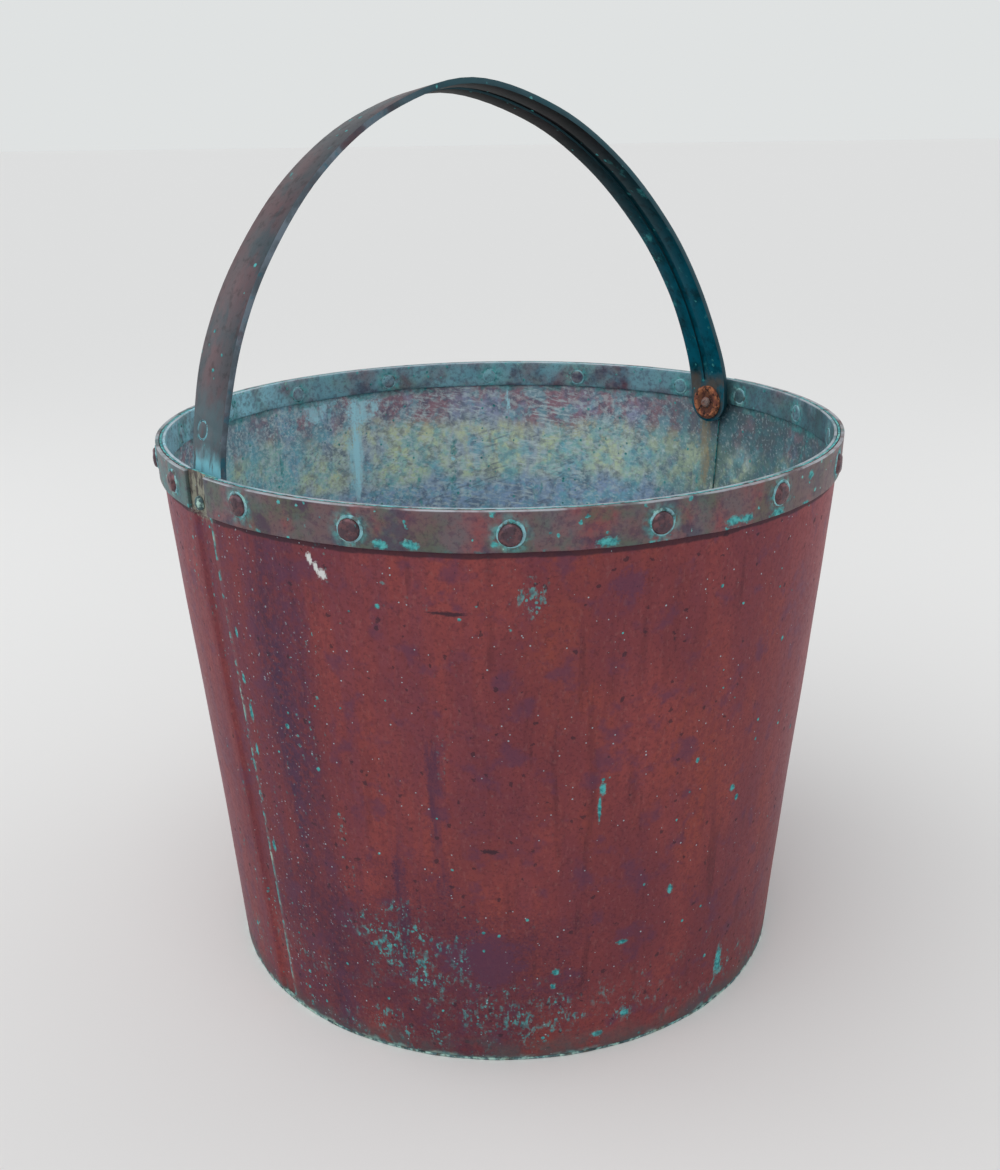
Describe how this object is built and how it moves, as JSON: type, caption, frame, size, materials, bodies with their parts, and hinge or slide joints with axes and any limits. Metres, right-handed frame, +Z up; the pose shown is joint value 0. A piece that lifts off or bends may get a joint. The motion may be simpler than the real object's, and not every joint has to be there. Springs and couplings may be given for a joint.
{
  "type": "riveted metal bucket",
  "caption": "Riveted copper bucket with verdigris patina, lapped side seams, a banded rim and an arched strap bail on rusty iron washers.",
  "frame": {"origin": "centre of the base disc's underside, on the floor", "axes": "+Z up along the bucket's axis; -Y towards the picture's camera, with the left side seam at the front left and the bail's right end at the back right"},
  "size_m": [0.4356, 0.4355, 0.5528],
  "materials": {
    "wall_copper": "red-brown patinated copper sheet with turquoise specks",
    "band_copper": "brown patinated copper hoop with olive and turquoise verdigris",
    "rivet_copper": "dark brown hammered copper rivet",
    "base_copper": "pale green verdigris over copper",
    "bail_copper": "dark copper strap, blue-green inside and maroon outside",
    "pivot_iron": "dull brown iron",
    "rusty_iron": "orange and dark red rust"
  },
  "bodies": {
    "bucket": {"body_sheet_front": "wall_copper", "body_sheet_back": "wall_copper", "base": "base_copper", "outer_band_front": "band_copper", "outer_band_back": "band_copper", "inner_band_front": "band_copper", "inner_band_back": "band_copper", "rivet_front_1": "rivet_copper", "rivet_front_2": "rivet_copper", "rivet_front_3": "rivet_copper", "rivet_front_4": "rivet_copper", "rivet_front_5": "rivet_copper", "rivet_front_6": "rivet_copper", "rivet_front_7": "rivet_copper", "rivet_front_8": "rivet_copper", "rivet_front_9": "rivet_copper", "rivet_back_1": "rivet_copper", "rivet_back_2": "rivet_copper", "rivet_back_3": "rivet_copper", "rivet_back_4": "rivet_copper", "rivet_back_5": "rivet_copper", "rivet_back_6": "rivet_copper", "rivet_back_7": "rivet_copper", "rivet_back_8": "rivet_copper", "rivet_back_9": "rivet_copper", "pivot_rivet_left": "pivot_iron", "pivot_rivet_right": "pivot_iron", "pivot_washer_left": "rusty_iron", "pivot_washer_right": "rusty_iron", "pivot_spacer_left": "pivot_iron", "pivot_spacer_right": "pivot_iron"},
    "bail": {"bail_strap": "bail_copper", "bail_plug_rivet": "bail_copper"}
  },
  "joints": [
    {"name": "bail_swing", "type": "hinge", "parent": "bucket", "child": "bail", "pos_m": [-0.00191, 0.00226, 0.3315], "axis": [0.7627, 0.6468, 0], "range_deg": [-64, 80]}
  ]
}
